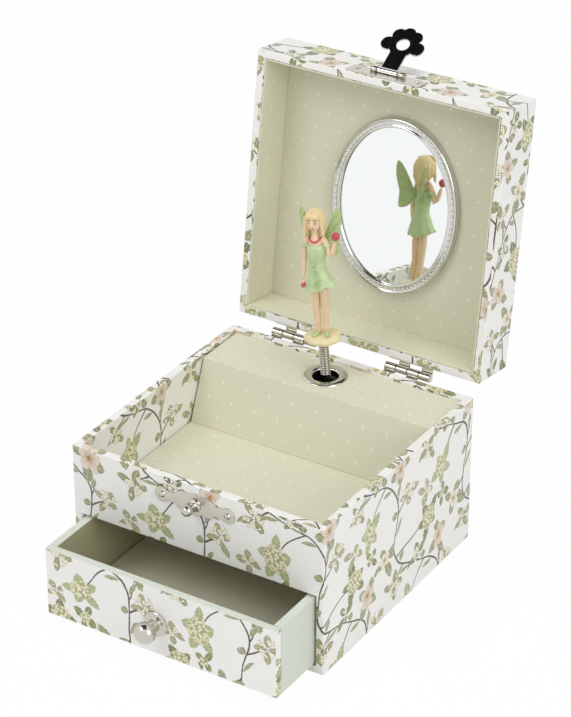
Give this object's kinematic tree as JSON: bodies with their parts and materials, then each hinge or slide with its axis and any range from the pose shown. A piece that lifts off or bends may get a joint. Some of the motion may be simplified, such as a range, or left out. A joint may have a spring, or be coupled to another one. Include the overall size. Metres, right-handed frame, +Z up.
{
  "type": "musical jewellery box",
  "caption": "Square paper-covered wind-up music box with a drawer, a hinged mirror lid with a hasp, and a figure turning on a spring stem over a lined compartment.",
  "frame": {"origin": "centre of the box's underside, on the surface it stands on", "axes": "+X to the right along the front, +Y to the back, +Z up"},
  "size_m": [0.11, 0.1895, 0.1881],
  "materials": {
    "printed_paper": "satin off-white paper over board with a small botanical print",
    "grey_board": "plain board",
    "dotted_lining": "matte cream-green paper with small pale dots",
    "drawer_paper": "matte pale mint paper over board",
    "nickel": "bright nickel plate",
    "mirror_glass": "silvered glass",
    "steel": "bright steel",
    "movement_metal": "cast and bent sheet metal",
    "brass": "polished brass",
    "nylon": "moulded nylon",
    "painted_figure": "hand-painted moulded plastic"
  },
  "bodies": {
    "case": {"base_floor": "printed_paper", "base_left_wall": "printed_paper", "base_right_wall": "printed_paper", "base_back_wall": "printed_paper", "base_front_wall": "printed_paper", "compartment_floor": "grey_board", "compartment_lining": "dotted_lining", "drawer_bay_partition": "grey_board", "platform_cover": "dotted_lining", "eyelet": "nickel", "latch_plate": "nickel", "latch_post": "nickel", "case_nails": "nickel", "hinge_base_leaves": "nickel", "hinge_pins": "nickel", "movement_bedplate": "movement_metal", "bedplate_screws": "steel", "comb": "steel", "comb_screws": "steel", "spring_housing": "movement_metal", "housing_pillars": "steel", "mainspring": "steel", "cylinder_brackets": "movement_metal", "spindle_bracket": "movement_metal", "governor_frame": "movement_metal"},
    "drawer": {"drawer_front": "printed_paper", "drawer_left_side": "drawer_paper", "drawer_right_side": "drawer_paper", "drawer_back": "drawer_paper", "drawer_bottom": "drawer_paper", "drawer_lining": "dotted_lining", "drawer_knob": "nickel", "drawer_knob_screw": "steel"},
    "lid": {"lid_top": "printed_paper", "lid_left_wall": "printed_paper", "lid_right_wall": "printed_paper", "lid_back_wall": "printed_paper", "lid_front_wall": "printed_paper", "lid_lining_top": "dotted_lining", "lid_lining_sides": "dotted_lining", "mirror_frame": "nickel", "mirror_glass": "mirror_glass", "hasp_plate": "nickel", "hasp_pin": "nickel", "lid_nails": "nickel", "hinge_lid_leaves": "nickel"},
    "hasp": {"hasp": "nickel"},
    "stem": {"stem_spring": "steel"},
    "figure": {"figurine": "painted_figure"},
    "spindle": {"spindle": "steel", "spindle_pinion": "nylon"},
    "cylinder": {"tune_cylinder": "brass", "cylinder_arbor": "steel", "cylinder_gear": "brass", "crown_wheel": "brass"},
    "winder": {"winding_key": "steel", "key_arbor": "steel", "great_wheel": "brass"},
    "governor": {"governor_wheel": "nylon"},
    "fan": {"governor_fan": "nylon"}
  },
  "joints": [
    {"name": "lid_hinge", "type": "hinge", "parent": "case", "child": "lid", "pos_m": [0, 0.05845, 0.06355], "axis": [1, 0, 0], "range_deg": [0, 98.14]},
    {"name": "hasp_swing", "type": "hinge", "parent": "lid", "child": "hasp", "pos_m": [0, 0.07992, 0.1766], "axis": [1, 0, 0], "range_deg": [0, 140]},
    {"name": "drawer_slide", "type": "slide", "parent": "case", "child": "drawer", "axis": [0, -1, 0], "range_m": [-0.0249, 0.03]},
    {"name": "stem_fold", "type": "hinge", "parent": "case", "child": "stem", "pos_m": [-0.00334, 0.0403, 0.07297], "axis": [1, 0, 0], "range_deg": [0, 114], "deforming": ["stem_spring"]},
    {"name": "figure_spin", "type": "hinge", "parent": "stem", "child": "figure", "pos_m": [-0.00334, 0.0403, 0.07297], "axis": [-0.0872, 0, 0.9962], "continuous": true},
    {"name": "spindle_spin", "type": "hinge", "parent": "case", "child": "spindle", "pos_m": [-0.0026, 0.0403, 0.05], "axis": [0, 0, 1], "continuous": true},
    {"name": "cylinder_spin", "type": "hinge", "parent": "case", "child": "cylinder", "pos_m": [-0.015, 0.0403, 0.03], "axis": [1, 0, 0], "continuous": true},
    {"name": "key_turn", "type": "hinge", "parent": "case", "child": "winder", "pos_m": [0.01732, 0.05, 0.03], "axis": [0, 1, 0], "continuous": true},
    {"name": "governor_spin", "type": "hinge", "parent": "case", "child": "governor", "pos_m": [-0.0407, 0.0403, 0.04], "axis": [1, 0, 0], "continuous": true},
    {"name": "fan_spin", "type": "hinge", "parent": "case", "child": "fan", "pos_m": [-0.03995, 0.0403, 0.0461], "axis": [0, 1, 0], "continuous": true}
  ],
  "couplings": [
    {"joint": "stem_fold", "follows": "lid_hinge", "ratio": 1.1616},
    {"joint": "figure_spin", "follows": "cylinder_spin", "ratio": 2},
    {"joint": "spindle_spin", "follows": "cylinder_spin", "ratio": 2},
    {"joint": "key_turn", "follows": "cylinder_spin", "ratio": -0.33333},
    {"joint": "governor_spin", "follows": "cylinder_spin", "ratio": -4},
    {"joint": "fan_spin", "follows": "cylinder_spin", "ratio": -72}
  ]
}
